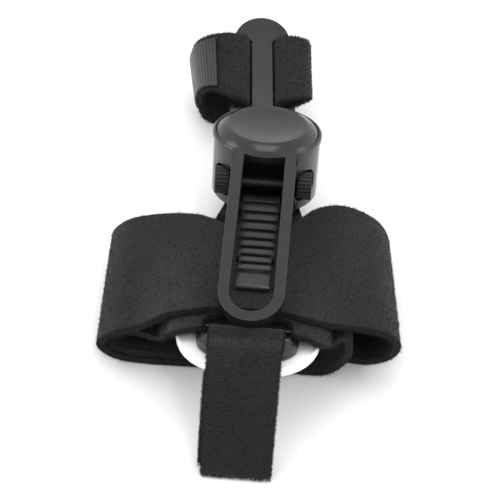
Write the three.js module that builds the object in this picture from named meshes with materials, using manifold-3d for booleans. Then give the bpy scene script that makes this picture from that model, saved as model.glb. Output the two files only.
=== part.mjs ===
// Bunion splint, lying on a table. A toe arm and a padded foot plate meet at a round hinge drum, and
// fabric straps hold the toe, the arch and the heel. Millimetres, +Z up, +Y towards the toe.
// The finished group stands on Z = 0 with its footprint centred on the Z axis.

import * as THREE from 'three';
import { mergeVertices } from 'three/addons/utils/BufferGeometryUtils.js';
import Module from 'manifold-3d';

const wasm = await Module();
wasm.setup();

const { degToRad } = THREE.MathUtils;

// How it lies: the rolled arch strap props up the heel end of the plate, so it leans down to the toe.
const LEAN = degToRad(12);
const DRUM_FOOT_HEIGHT = 12;
const GAP = 0.3;

// Foot plate and foam pad. Splint coordinates: Z = 0 is the plate's top, the drum's axis is X = Y = 0.
const PLATE = { thickness: 3, toeRadius: 13, heelY: -103.5, heelDepth: 9.5 };
const PLATE_SIDES = [
  { y: -12, half: 13.8 },
  { y: -25, half: 16.5 },
  { y: -45, half: 17.5 },
  { y: -75, half: 17.5 },
  { y: -94, half: 16.2 },
];
const PAD = { thickness: 3.5, toeY: -21, heelY: -106, heelDepth: 18 };
const PAD_SIDES = [
  { y: -24, half: 14 },
  { y: -42, half: 20 },
  { y: -62, half: 23 },
  { y: -82, half: 23.5 },
];
const HEEL_SLOT = { halfWidth: 13.6, fromY: -93.2, toY: -88.6 };

// Hinge drum: a cup with a central post, and a screen across it behind the thumb wheel.
const DRUM = {
  radius: 19, wall: 2.2, floor: 2.2, height: 22.4, chamfer: 1.2, post: 4, postTop: 22, segments: 40,
};
const FRONT_OPENING = { halfWidth: 7.4, fromZ: 4.2, frameFromZ: 19.5, backY: -8 };
const SIDE_HOLE = { radius: 0.8, z: 7.5, fromX: 10 };
const CUT_BEYOND = 6;
const SCREEN = { halfWidth: 16.3, fromY: -7, toY: -5.4, fromZ: 9.2 };

// Cover: a dished cap with a U-shaped frame that slopes down over the straps.
const CAP_PROFILE = [
  { radius: 19.5, z: 22.7 },
  { radius: 19.5, z: 24.2 },
  { radius: 19.1, z: 24.6 },
  { radius: 18.5, z: 24.6 },
  { radius: 18.3, z: 24.2 },
  { radius: 17.7, z: 25.0 },
  { radius: 16.0, z: 26.5 },
  { radius: 14.2, z: 27.2 },
  { radius: 13.2, z: 27.15 },
  { radius: 11.4, z: 26.75 },
  { radius: 8.8, z: 26.35 },
  { radius: 5.6, z: 26.0 },
];
const CAP_CENTRE_Z = 25.75;
const FRAME = {
  topY: -15.5, topZ: 25.2, endY: -94.5, endZ: 7.1, thickness: 3.6,
  halfWidth: 11.2, endHalfWidth: 10.7, slotHalfWidth: 7.2, slotFrom: 3.2, endDepth: 13, rail: 4.2,
};

// Thumb wheel: one axle with a knurled knob at each end.
const WHEEL = { y: -12.5, z: 10.3, axle: 2, radius: 5, ridge: 0.5, ridges: 22, innerX: 12.2, outerX: 17.1 };
const WHEEL_ROOM = { round: 0.4, side: 0.5 };

// Toothed tongue: its line from under the axle, over a low hump and down onto the arch strap.
const TONGUE = {
  thickness: 2, halfWidth: 6.35, tipHalfWidth: 5.4, tipTeeth: 2, tipLap: 1,
  pitch: 4.7, land: 3.1, tooth: 1.1, toothSlope: 0.2, teeth: 9,
};
const TONGUE_LINE = [
  { y: -12.2, z: 4.6 },
  { y: -17, z: 6.6 },
  { y: -25, z: 10.2 },
  { y: -36, z: 8.6 },
  { y: -46, z: 6.9 },
  { y: -58, z: 6 },
  { y: -74.6, z: 6 },
];
const TONGUE_FIRST_TOOTH = 15;

// Toe arm: an eye round the post, a neck, and a flat arm with a slot on each side of a central web.
const TOE_SWING = degToRad(5.3);
const TOE_RANGE = degToRad(30);
const EYE = { radius: 11, bore: 4.4, fromZ: 4, toZ: 8 };
const NECK = { halfWidth: 8.5, fromY: 6, toY: 23 };
const NECK_ROOM = { side: degToRad(3), above: 0.6 };
const ARM = {
  y: 20.5, z: 6, rise: degToRad(30), thickness: 2.4,
  web: 3.9, bar: 1.6, slotFrom: 17.5, slotTo: 49, corner: 1.8,
};
const ARM_SIDES = [
  { s: -2, half: 8.5 },
  { s: 5, half: 8.6 },
  { s: 13, half: 12.3 },
  { s: 17, half: 12.3 },
  { s: 48, half: 10.8 },
];
const ARM_TIP = 59.4;

// Straps. In the toe strap's line n is measured up from the arm's middle, and back is how far the edge
// next to the drum is drawn back at that fold.
const TOE_STRAP = { thickness: 2.4, fromS: 18.6, toS: 48.4, taperFromX: -12, leftTaper: 0.82 };
const TOE_STRAP_LINE = [
  { fold: 'end in the left roll', x: -25, n: -11, back: 8 },
  { fold: 'left roll', x: -25.6, n: -5.8, back: 7.5 },
  { fold: 'left crown', x: -24, n: -0.5, back: 6.5 },
  { fold: 'left shoulder', x: -19.6, n: 3.1, back: 4.8 },
  { fold: 'over the left bar', x: -12, n: 4.7, back: 1.2 },
  { fold: 'into the left slot', x: -8, n: 2.9, back: 0 },
  { fold: 'left slot', x: -6.6, n: -0.5, back: 0 },
  { fold: 'under the web', x: -3.6, n: -3.6, back: 0 },
  { fold: 'under the web', x: 3.6, n: -3.6, back: 0 },
  { fold: 'right slot', x: 6.6, n: -0.5, back: 0 },
  { fold: 'out of the right slot', x: 8, n: 2.9, back: 1 },
  { fold: 'over the right bar', x: 12, n: 4, back: 1.2 },
  { fold: 'right crown', x: 17.2, n: 1.4, back: 3.6 },
  { fold: 'right roll', x: 17.6, n: -4.2, back: 6.5 },
  { fold: 'right foot', x: 11.5, n: -11.5, back: 7.5 },
  { fold: 'bottom', x: 0, n: -17.6, back: 6 },
  { fold: 'left foot', x: -14, n: -21, back: 5 },
  { fold: 'left heel', x: -22.6, n: -18.6, back: 6 },
  { fold: 'lapped end', x: -25.6, n: -13.4, back: 8 },
];
const TAB = { thickness: 1.2, fromS: 20.2, toS: 45.6 };
const TAB_LINE = [
  { x: -28.1, n: -17, back: 8.4 },
  { x: -28.1, n: -11.4, back: 7.2 },
  { x: -28, n: -5.6, back: 6.5 },
  { x: -26.2, n: 0.7, back: 5.5 },
  { x: -22.6, n: 4.4, back: 4.6 },
  { x: -18.2, n: 6.1, back: 3.6 },
];

// Arch strap: one row for each bend, from the end under its right loop, over the plate and round the left
// loop, then inwards round the pad and over the plate again, giving the strap's middle at its toe edge and
// at its heel edge as X, Y, Z in lying coordinates, floor at Z = 0. Between plate and frame it is pressed.
const ARCH_STRAP = { thickness: 2.6, pressed: 2, stepsPerBend: 4 };
const ARCH_STRAP_BENDS = [
  { bend: 'outer end', pressed: false, toe: [33, -18, 1.3], heel: [33.5, -70.5, 1.3] },
  { bend: 'right foot', pressed: false, toe: [38.5, -19.5, 1.9], heel: [40, -71.5, 2.2] },
  { bend: 'right low side', pressed: false, toe: [43.4, -22, 6.6], heel: [46.4, -74.5, 8.4] },
  { bend: 'right side', pressed: false, toe: [44.6, -23, 13], heel: [48.6, -77, 16.5] },
  { bend: 'right top', pressed: false, toe: [39.8, -23, 21.5], heel: [45, -79, 23.6] },
  { bend: 'right crown', pressed: false, toe: [28, -24, 27.8], heel: [35, -80.5, 27.3] },
  { bend: 'right shoulder', pressed: false, toe: [20, -25, 26.6], heel: [25.2, -83.2, 30.9] },
  { bend: 'over the right edge', pressed: true, toe: [15.4, -26.5, 24], heel: [18, -84.2, 33.8] },
  { bend: 'plate right', pressed: true, toe: [10.8, -29.5, 22.5], heel: [12, -82, 33.1] },
  { bend: 'plate left', pressed: true, toe: [-10.8, -32.1, 22.8], heel: [-12, -82, 33.1] },
  { bend: 'over the left edge', pressed: true, toe: [-17, -28.7, 22], heel: [-18.2, -84.2, 33.8] },
  { bend: 'left shoulder', pressed: false, toe: [-23, -27.3, 21.6], heel: [-25.8, -83.7, 30.4] },
  { bend: 'left crown', pressed: false, toe: [-34, -27, 20.4], heel: [-35.5, -81, 21] },
  { bend: 'left top', pressed: false, toe: [-46, -27, 16.2], heel: [-44.8, -80, 15.4] },
  { bend: 'left side', pressed: false, toe: [-51, -27, 8.8], heel: [-49.2, -79, 9] },
  { bend: 'left low side', pressed: false, toe: [-46, -27, 2.6], heel: [-44.6, -78, 2.8] },
  { bend: 'bottom left', pressed: false, toe: [-33, -26, 1.3], heel: [-32, -78, 1.3] },
  { bend: 'bottom right', pressed: false, toe: [22.5, -24, 1.3], heel: [23, -77.5, 1.3] },
  { bend: 'inner right foot', pressed: false, toe: [27.4, -24, 2.6], heel: [27.4, -78, 3.6] },
  { bend: 'inner right side', pressed: false, toe: [31.4, -24, 6.6], heel: [31.6, -79.3, 10.5] },
  { bend: 'inner right side', pressed: false, toe: [32.2, -24.5, 11], heel: [32.8, -80.4, 17.5] },
  { bend: 'inner right crown', pressed: false, toe: [29.4, -25.5, 14.4], heel: [30.6, -81, 22.8] },
  { bend: 'inner right dip', pressed: false, toe: [26.2, -30, 13.8], heel: [26.9, -85.5, 23.2] },
  { bend: 'pad edge right', pressed: true, toe: [22.4, -36.4, 18.8], heel: [23.6, -92.2, 30.6] },
  { bend: 'plate edge right', pressed: true, toe: [18.2, -35.9, 21], heel: [18.2, -91.7, 32.8] },
  { bend: 'beside heel strap', pressed: true, toe: [14.8, -35.9, 21], heel: [14.8, -90.7, 32.6] },
  { bend: 'inner plate right', pressed: true, toe: [12, -35.9, 21], heel: [12.6, -83.9, 31.2] },
  { bend: 'inner plate left', pressed: true, toe: [-12.4, -35.9, 21], heel: [-13.1, -83.9, 31.2] },
  { bend: 'beside heel strap', pressed: true, toe: [-15.2, -35.9, 21], heel: [-15.2, -90.3, 32.5] },
  { bend: 'plate edge left', pressed: true, toe: [-18.2, -35.9, 21], heel: [-18.2, -91.2, 32.7] },
  { bend: 'pad edge left', pressed: true, toe: [-22.4, -36.4, 18.8], heel: [-23.6, -91.5, 30.4] },
  { bend: 'inner left drape', pressed: false, toe: [-26, -30, 13.4], heel: [-26.6, -85.4, 22] },
  { bend: 'inner left dip', pressed: false, toe: [-30.5, -26.5, 12.4], heel: [-30, -79, 13.8] },
  { bend: 'inner left crown', pressed: false, toe: [-37.5, -26, 14.2], heel: [-37.6, -77.8, 14.7] },
  { bend: 'inner left top', pressed: false, toe: [-43.8, -26, 12.8], heel: [-42.8, -77.5, 12.6] },
  { bend: 'inner left side', pressed: false, toe: [-47.4, -26, 8.8], heel: [-46.1, -77.5, 8.6] },
  { bend: 'inner left foot', pressed: false, toe: [-44.4, -26, 5.6], heel: [-43.4, -77.5, 5.6] },
  { bend: 'inner bottom', pressed: false, toe: [-34, -26, 4.35], heel: [-33, -77.5, 4.35] },
  { bend: 'inner end', pressed: false, toe: [-16, -26, 4.35], heel: [-15, -77.5, 4.35] },
];

// Heel strap: through the slot in the plate and the pad, both plies hanging to the floor. Lying coordinates.
const HEEL_STRAP = {
  thickness: 2.2, stepsPerBend: 5, slotHalfWidth: 11.9, endHalfWidth: 10.9, side: -0.4, skew: -1.3,
};
const HEEL_STRAP_BENDS = [
  { bend: 'front end', y: -122.6, z: 0.8 },
  { bend: 'front fall', y: -116.5, z: 16.5 },
  { bend: 'over the pad', y: -109.6, z: 30.5 },
  { bend: 'over the plate', y: -101.5, z: 35.7 },
  { bend: 'on the plate', y: -95, z: 34 },
  { bend: 'slot lip', y: -91.7, z: 33.4 },
  { bend: 'slot top', y: -88.9, z: 30.6 },
  { bend: 'slot foot', y: -89.8, z: 25.8 },
  { bend: 'under the pad', y: -93, z: 23 },
  { bend: 'pad end', y: -102, z: 24.3 },
  { bend: 'back fall', y: -108.4, z: 21 },
  { bend: 'back end', y: -118.6, z: 0.8 },
];

const FINISH = {
  plastic: new THREE.MeshStandardMaterial({ color: 0x3a3b3d, roughness: 0.5, metalness: 0 }),
  fabric: new THREE.MeshStandardMaterial({ color: 0x232323, roughness: 0.95, metalness: 0 }),
  hook: new THREE.MeshStandardMaterial({ color: 0x46474b, roughness: 0.35, metalness: 0 }),
  foam: new THREE.MeshStandardMaterial({ color: 0xe4e4e4, roughness: 0.8, metalness: 0 }),
};

/** A closed geometry as a solid that can be joined and cut. */
function solid(geometry) {
  geometry.deleteAttribute('normal');
  geometry.deleteAttribute('uv');
  const merged = mergeVertices(geometry, 1e-4);
  const corners = [...merged.index.array];
  const triangles = [];
  for (let i = 0; i < corners.length; i += 3) {
    const [a, b, c] = corners.slice(i, i + 3);
    if (a !== b && b !== c && c !== a) triangles.push(a, b, c);
  }
  return new wasm.Manifold(new wasm.Mesh({
    numProp: 3,
    vertProperties: new Float32Array(merged.attributes.position.array),
    triVerts: new Uint32Array(triangles),
  }));
}

/** A joined or cut solid as a geometry again. */
function geometryOf(body) {
  const mesh = body.getMesh();
  const geometry = new THREE.BufferGeometry();
  geometry.setAttribute('position', new THREE.BufferAttribute(mesh.vertProperties, 3));
  geometry.setIndex(new THREE.BufferAttribute(mesh.triVerts, 1));
  geometry.computeVertexNormals();
  return geometry;
}

/** A box given by its lowest and highest corners. */
function block(low, high) {
  const size = high.map((value, axis) => value - low[axis]);
  const middle = high.map((value, axis) => (value + low[axis]) / 2);
  return solid(new THREE.BoxGeometry(...size).translate(...middle));
}

/** A profile of radius and height, turned about the Z axis. */
function turned(profile, segments) {
  const points = profile.map(({ radius, z }) => new THREE.Vector2(radius, z));
  return new THREE.LatheGeometry(points, segments).rotateX(Math.PI / 2);
}

/** A round bar along X. */
function barAlongX(radius, fromX, toX, y, z, sides = 20) {
  const bar = new THREE.CylinderGeometry(radius, radius, toX - fromX, sides).rotateZ(Math.PI / 2);
  return solid(bar.translate((fromX + toX) / 2, y, z));
}

/** A shape in X and Y, given its thickness downwards from a height. */
function slab(shape, topZ, thickness, curveSegments = 10) {
  const settings = { depth: thickness, bevelEnabled: false, curveSegments };
  const geometry = new THREE.ExtrudeGeometry(shape, settings);
  return geometry.translate(0, 0, topZ - thickness);
}

/** A symmetric outline from points at the toe, a table of half widths and a round heel end. */
function footOutline(toe, sides, { heelY, heelDepth }) {
  const last = sides.at(-1);
  const side = new THREE.SplineCurve(sides.map(({ y, half }) => new THREE.Vector2(half, y)));
  const heel = new THREE.CubicBezierCurve(
    new THREE.Vector2(last.half, last.y),
    new THREE.Vector2(last.half, heelY + heelDepth * 0.45),
    new THREE.Vector2(last.half * 0.62, heelY),
    new THREE.Vector2(0, heelY),
  );
  const right = [...toe, ...side.getPoints(12), ...heel.getPoints(10).slice(1)];
  const left = right.slice(0, -1).reverse().map(({ x, y }) => new THREE.Vector2(-x, y));
  return new THREE.Shape([...right, ...left]);
}

/** The slot that the heel strap passes through, cut out of the plate and the pad alike. */
function cutHeelSlot(body) {
  const { halfWidth, fromY, toY } = HEEL_SLOT;
  return body.subtract(block([-halfWidth, fromY, -20], [halfWidth, toY, 20]));
}

function footPlate() {
  const toe = [];
  for (let step = 1; step <= 8; step += 1) {
    const angle = (step / 8 - 0.06) * (Math.PI / 2);
    toe.push(new THREE.Vector2(PLATE.toeRadius * Math.sin(angle), PLATE.toeRadius * Math.cos(angle)));
  }
  return geometryOf(cutHeelSlot(solid(slab(footOutline(toe, PLATE_SIDES, PLATE), 0, PLATE.thickness))));
}

function footPad() {
  const toe = [new THREE.Vector2(PAD_SIDES[0].half * 0.55, PAD.toeY)];
  const shape = footOutline(toe, PAD_SIDES, PAD);
  return geometryOf(cutHeelSlot(solid(slab(shape, -PLATE.thickness - GAP, PAD.thickness))));
}

/** The drum, open to the front for the tongue and the wheel, and behind for the toe arm's swing. */
function drum() {
  const { radius, wall, floor, height, chamfer, post, postTop, segments } = DRUM;
  const inner = radius - wall;
  const profile = [
    { radius: 0, z: GAP },
    { radius: radius - chamfer, z: GAP },
    { radius, z: GAP + chamfer },
    { radius, z: height },
    { radius: inner, z: height },
    { radius: inner, z: floor },
    { radius: post, z: floor },
    { radius: post, z: postTop },
    { radius: 0, z: postTop },
  ];
  const screen = block(
    [-SCREEN.halfWidth, SCREEN.fromY, SCREEN.fromZ],
    [SCREEN.halfWidth, SCREEN.toY, postTop],
  );
  let body = solid(turned(profile, segments)).add(screen);
  const far = radius + CUT_BEYOND;
  const above = height + CUT_BEYOND;
  const frameHalf = FRAME.halfWidth + GAP;
  const { halfWidth, fromZ, frameFromZ, backY } = FRONT_OPENING;
  body = body.subtract(block([-halfWidth, -far, fromZ], [halfWidth, backY, above]));
  body = body.subtract(block([-frameHalf, -far, frameFromZ], [frameHalf, backY, above]));
  const room = WHEEL.radius + WHEEL.ridge + WHEEL_ROOM.round;
  for (const side of [-1, 1]) {
    const xs = [side * (WHEEL.innerX - GAP), side * (WHEEL.outerX + WHEEL_ROOM.side)].sort((a, b) => a - b);
    body = body.subtract(barAlongX(room, xs[0], xs[1], WHEEL.y, WHEEL.z, 24));
    const hole = [side * SIDE_HOLE.fromX, side * far].sort((a, b) => a - b);
    body = body.subtract(barAlongX(SIDE_HOLE.radius, hole[0], hole[1], 0, SIDE_HOLE.z, 10));
  }
  body = body.subtract(barAlongX(WHEEL.axle + GAP, -WHEEL.innerX, WHEEL.innerX, WHEEL.y, WHEEL.z));
  return geometryOf(body.subtract(toeSweep(far)));
}

/** The space behind the drum that the toe arm's neck sweeps through. */
function toeSweep(reach) {
  const neckAngle = Math.asin(NECK.halfWidth / (DRUM.radius - DRUM.wall)) + NECK_ROOM.side;
  const from = Math.PI / 2 + TOE_SWING - TOE_RANGE - neckAngle;
  const to = Math.PI / 2 + TOE_SWING + TOE_RANGE + neckAngle;
  const sector = new THREE.Shape();
  sector.absarc(0, 0, reach, from, to, false);
  sector.absarc(0, 0, EYE.radius, to, from, true);
  const { fromZ, toZ } = EYE;
  return solid(slab(sector, toZ + NECK_ROOM.above, toZ - fromZ + 2 * NECK_ROOM.above, 24));
}

/** The cap and its sloping frame, moulded as one. */
function cover() {
  const capProfile = [{ radius: 0, z: CAP_PROFILE[0].z }, ...CAP_PROFILE, { radius: 0, z: CAP_CENTRE_Z }];
  const cap = solid(turned(capProfile, DRUM.segments));
  const { topY, topZ, endY, endZ, thickness, halfWidth, endHalfWidth } = FRAME;
  const { slotHalfWidth, slotFrom, endDepth, rail } = FRAME;
  const length = Math.hypot(topY - endY, topZ - endZ);
  const slope = Math.atan2(topZ - endZ, topY - endY);
  const outline = new THREE.Shape();
  outline.moveTo(-halfWidth, 0);
  outline.lineTo(-endHalfWidth, -length + endDepth);
  outline.absellipse(0, -length + endDepth, endHalfWidth, endDepth, Math.PI, 2 * Math.PI, false);
  outline.lineTo(halfWidth, 0);
  const slot = new THREE.Path();
  slot.moveTo(-slotHalfWidth, -slotFrom);
  slot.lineTo(-slotHalfWidth, -length + endDepth);
  slot.absellipse(0, -length + endDepth, slotHalfWidth, endDepth - rail, Math.PI, 2 * Math.PI, false);
  slot.lineTo(slotHalfWidth, -slotFrom);
  outline.holes.push(slot);
  const frame = slab(outline, 0, thickness, 14).rotateX(slope).translate(0, topY, topZ);
  const below = block([-halfWidth - 1, topY, 0], [halfWidth + 1, 0, CAP_PROFILE[0].z]);
  return geometryOf(cap.add(solid(frame).subtract(below)));
}

/** A ridged knob outline, with one rounded ridge for each step round it. */
function ridgedOutline({ radius, ridge, ridges }) {
  const points = [];
  for (let i = 0; i < ridges; i += 1) {
    for (const [step, height] of [[0.08, 1], [0.42, 1], [0.58, 0], [0.92, 0]]) {
      const angle = ((i + step) / ridges) * 2 * Math.PI;
      const reach = radius + (height - 1) * ridge;
      points.push(new THREE.Vector2(reach * Math.cos(angle), reach * Math.sin(angle)));
    }
  }
  return new THREE.Shape(points);
}

function thumbWheel() {
  const { y, z, axle, innerX, outerX } = WHEEL;
  let body = barAlongX(axle, -outerX, outerX, y, z);
  const outline = ridgedOutline(WHEEL);
  for (const fromX of [-outerX, innerX]) {
    const knob = new THREE.ExtrudeGeometry(outline, { depth: outerX - innerX, bevelEnabled: false });
    body = body.add(solid(knob.rotateY(Math.PI / 2).translate(fromX, y, z)));
  }
  return geometryOf(body);
}

/** The tongue's side view between two distances along its line, with its teeth on top. */
function tongueSide(curve, from, to, firstTooth, lastTooth) {
  const at = (distance, height) => {
    const u = THREE.MathUtils.clamp(distance / curve.getLength(), 0, 1);
    const point = curve.getPointAt(u);
    const along = curve.getTangentAt(u);
    return new THREE.Vector2(point.x - along.y * height, point.y + along.x * height);
  };
  const { thickness, pitch, land, tooth, toothSlope } = TONGUE;
  const top = [];
  const bottom = [];
  for (let step = 0; step <= 16; step += 1) bottom.push(at(from + ((to - from) * step) / 16, thickness / 2));
  top.push(at(from, -thickness / 2));
  for (let i = firstTooth; i < lastTooth; i += 1) {
    const start = TONGUE_FIRST_TOOTH + i * pitch;
    top.push(at(start, -thickness / 2), at(start + toothSlope, -thickness / 2 - tooth));
    top.push(at(start + land - toothSlope, -thickness / 2 - tooth), at(start + land, -thickness / 2));
  }
  top.push(at(to, -thickness / 2));
  return new THREE.Shape([...bottom, ...top.reverse()]);
}

function toothedTongue() {
  const curve = new THREE.SplineCurve(TONGUE_LINE.map(({ y, z }) => new THREE.Vector2(y, z)));
  const { halfWidth, tipHalfWidth, tipTeeth, tipLap, teeth, pitch } = TONGUE;
  const step = TONGUE_FIRST_TOOTH + (teeth - tipTeeth) * pitch - tipLap / 2;
  const end = curve.getLength();
  const sideways = new THREE.Matrix4().set(0, 0, 1, 0, 1, 0, 0, 0, 0, 1, 0, 0, 0, 0, 0, 1);
  const across = (shape, half) => {
    const geometry = new THREE.ExtrudeGeometry(shape, { depth: 2 * half, bevelEnabled: false });
    return solid(geometry.applyMatrix4(sideways).translate(-half, 0, 0));
  };
  const main = across(tongueSide(curve, 0, step, 0, teeth - tipTeeth), halfWidth);
  const tip = across(tongueSide(curve, step - tipLap, end, teeth - tipTeeth, teeth), tipHalfWidth);
  return geometryOf(main.add(tip));
}

/** A rounded slot beside the web, between the web and the outer bar. */
function armSlot(side) {
  const { web, bar, slotFrom, slotTo, corner } = ARM;
  const [wide, narrow] = ARM_SIDES.slice(-2);
  const halfAt = (s) => THREE.MathUtils.mapLinear(s, wide.s, narrow.s, wide.half, narrow.half);
  const low = halfAt(slotFrom) - bar;
  const high = halfAt(slotTo) - bar;
  const path = new THREE.Path();
  path.moveTo(side * (web + corner), slotFrom);
  path.lineTo(side * low, slotFrom);
  path.lineTo(side * high, slotTo);
  path.lineTo(side * (web + corner), slotTo);
  path.quadraticCurveTo(side * web, slotTo, side * web, slotTo - corner);
  path.lineTo(side * web, slotFrom + corner);
  path.quadraticCurveTo(side * web, slotFrom, side * (web + corner), slotFrom);
  return path;
}

function toeArm() {
  const { fromZ, toZ, radius, bore } = EYE;
  const eyeShape = new THREE.Shape().absarc(0, 0, radius, 0, 2 * Math.PI, false);
  const eye = solid(slab(eyeShape, toZ, toZ - fromZ, 18));
  const neck = block([-NECK.halfWidth, NECK.fromY, fromZ], [NECK.halfWidth, NECK.toY, toZ]);
  const tip = ARM_SIDES.at(-1);
  const right = ARM_SIDES.map(({ s, half }) => new THREE.Vector2(half, s));
  const left = ARM_SIDES.map(({ s, half }) => new THREE.Vector2(-half, s)).reverse();
  const outline = new THREE.Shape();
  outline.moveTo(right[0].x, right[0].y);
  for (const point of right.slice(1)) outline.lineTo(point.x, point.y);
  outline.absellipse(0, tip.s, tip.half, ARM_TIP - tip.s, 0, Math.PI, false);
  for (const point of left.slice(1)) outline.lineTo(point.x, point.y);
  outline.holes.push(armSlot(1), armSlot(-1));
  const flat = slab(outline, ARM.thickness / 2, ARM.thickness, 12);
  const plate = flat.rotateX(ARM.rise).translate(0, ARM.y, ARM.z);
  const boreShape = new THREE.Shape().absarc(0, 0, bore, 0, 2 * Math.PI, false);
  const hole = solid(slab(boreShape, toZ + 1, toZ - fromZ + 2, 12));
  return geometryOf(eye.add(neck).add(solid(plate)).subtract(hole));
}

/** A flat band between two edges that run side by side, given its thickness at each step. */
function band(edgeA, edgeB, thicknessAt) {
  const positions = [];
  const index = [];
  const last = edgeA.length - 1;
  for (let i = 0; i <= last; i += 1) {
    const across = edgeB[i].clone().sub(edgeA[i]);
    const corners = [edgeA, edgeB].map((edge) => {
      const along = edge[Math.min(i + 1, last)].clone().sub(edge[Math.max(i - 1, 0)]);
      const out = along.cross(across).setLength(thicknessAt(i) / 2);
      return [edge[i].clone().add(out), edge[i].clone().sub(out)];
    });
    const ring = [corners[0][0], corners[1][0], corners[1][1], corners[0][1]];
    for (const corner of ring) positions.push(...corner.toArray());
  }
  for (let i = 0; i < last; i += 1) {
    for (let k = 0; k < 4; k += 1) {
      const [a, b] = [4 * i + k, 4 * i + ((k + 1) % 4)];
      index.push(a, b + 4, b, a, a + 4, b + 4);
    }
  }
  const end = 4 * last;
  index.push(0, 1, 2, 0, 2, 3, end, end + 2, end + 1, end, end + 3, end + 2);
  const geometry = new THREE.BufferGeometry();
  geometry.setAttribute('position', new THREE.Float32BufferAttribute(positions, 3));
  geometry.setIndex(index);
  geometry.computeVertexNormals();
  return geometry;
}

/** A smooth line through a few points, at a whole number of steps for each of them. */
function smoothLine(points, stepsPerBend) {
  const curve = new THREE.CatmullRomCurve3(points, false, 'centripetal');
  return curve.getPoints((points.length - 1) * stepsPerBend);
}

/** A band wrapped across the toe arm along a line of x and n. */
function armBand(line, { thickness, fromS, toS }) {
  const { taperFromX, leftTaper } = TOE_STRAP;
  const edge = (s, drawn) => {
    const along = THREE.MathUtils.inverseLerp(TOE_STRAP.fromS, TOE_STRAP.toS, s);
    const taper = THREE.MathUtils.lerp(leftTaper, 1, along);
    const bend = (x) => (x < taperFromX ? taperFromX + (x - taperFromX) * taper : x);
    return smoothLine(line.map(({ x, n, back }) => new THREE.Vector3(bend(x), s + drawn * back, n)), 4);
  };
  return band(edge(fromS, 1), edge(toS, 0), () => thickness);
}

function archStrap() {
  const { thickness, pressed, stepsPerBend } = ARCH_STRAP;
  const edge = (side) => smoothLine(
    ARCH_STRAP_BENDS.map((row) => new THREE.Vector3(...row[side])),
    stepsPerBend,
  ).map((point) => point.setZ(Math.max(point.z, thickness / 2)));
  const bendThickness = ARCH_STRAP_BENDS.map((row) => (row.pressed ? pressed : thickness));
  const thicknessAt = (step) => {
    const bend = Math.floor(step / stepsPerBend);
    const next = Math.min(bend + 1, bendThickness.length - 1);
    return THREE.MathUtils.lerp(bendThickness[bend], bendThickness[next], step / stepsPerBend - bend);
  };
  return band(edge('heel'), edge('toe'), thicknessAt);
}

function heelStrap() {
  const { thickness, stepsPerBend, slotHalfWidth, endHalfWidth, side: sideways, skew } = HEEL_STRAP;
  const last = HEEL_STRAP_BENDS.length - 1;
  const edge = (side) => smoothLine(HEEL_STRAP_BENDS.map(({ y, z }, i) => {
    const fromSlot = Math.abs((2 * i) / last - 1);
    const half = THREE.MathUtils.lerp(slotHalfWidth, endHalfWidth, fromSlot);
    return new THREE.Vector3(side * half + sideways + (i > last / 2 ? skew * fromSlot : 0), y, z);
  }), stepsPerBend);
  return band(edge(1), edge(-1), () => thickness);
}

function addPiece(group, name, geometry, finish) {
  const mesh = new THREE.Mesh(geometry, finish);
  mesh.name = name;
  group.add(mesh);
}

const part = new THREE.Group();

const splint = new THREE.Group();
splint.position.z = DRUM_FOOT_HEIGHT;
splint.rotation.x = -LEAN;
part.add(splint);
addPiece(splint, 'foot_plate', footPlate(), FINISH.plastic);
addPiece(splint, 'foot_pad', footPad(), FINISH.foam);
addPiece(splint, 'hinge_drum', drum(), FINISH.plastic);
addPiece(splint, 'cover_frame', cover(), FINISH.plastic);
addPiece(splint, 'thumb_wheel', thumbWheel(), FINISH.plastic);
addPiece(splint, 'toothed_tongue', toothedTongue(), FINISH.plastic);

const toe = new THREE.Group();
toe.rotation.z = TOE_SWING;
splint.add(toe);
addPiece(toe, 'toe_arm', toeArm(), FINISH.plastic);
const arm = new THREE.Group();
arm.position.set(0, ARM.y, ARM.z);
arm.rotation.x = ARM.rise;
toe.add(arm);
addPiece(arm, 'toe_strap', armBand(TOE_STRAP_LINE, TOE_STRAP), FINISH.fabric);
addPiece(arm, 'toe_strap_tab', armBand(TAB_LINE, TAB), FINISH.hook);

addPiece(part, 'arch_strap', archStrap(), FINISH.fabric);
addPiece(part, 'heel_strap', heelStrap(), FINISH.fabric);

part.updateMatrixWorld(true);
const box = new THREE.Box3().setFromObject(part, true);
const middle = box.getCenter(new THREE.Vector3());
part.position.set(-middle.x, -middle.y, -box.min.z);
part.updateMatrixWorld(true);

export default part;
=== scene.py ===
"""Looks for a bunion splint that lies on a table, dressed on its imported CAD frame.

Metres, +Z up, +Y towards the toe. Two sets of coordinates place the pieces. Lying coordinates stand
under the drum, with the table at Z = 0. Splint coordinates start at the drum's foot, lean with the
foot plate, and have Z along the drum's axis. Tables and the sizes of pieces are in millimetres.
"""

from __future__ import annotations

import logging
import math
import random
from dataclasses import dataclass, field
from enum import Enum
from typing import NamedTuple, Sequence

import bmesh
import bpy
from mathutils import Matrix, Vector, noise

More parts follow.
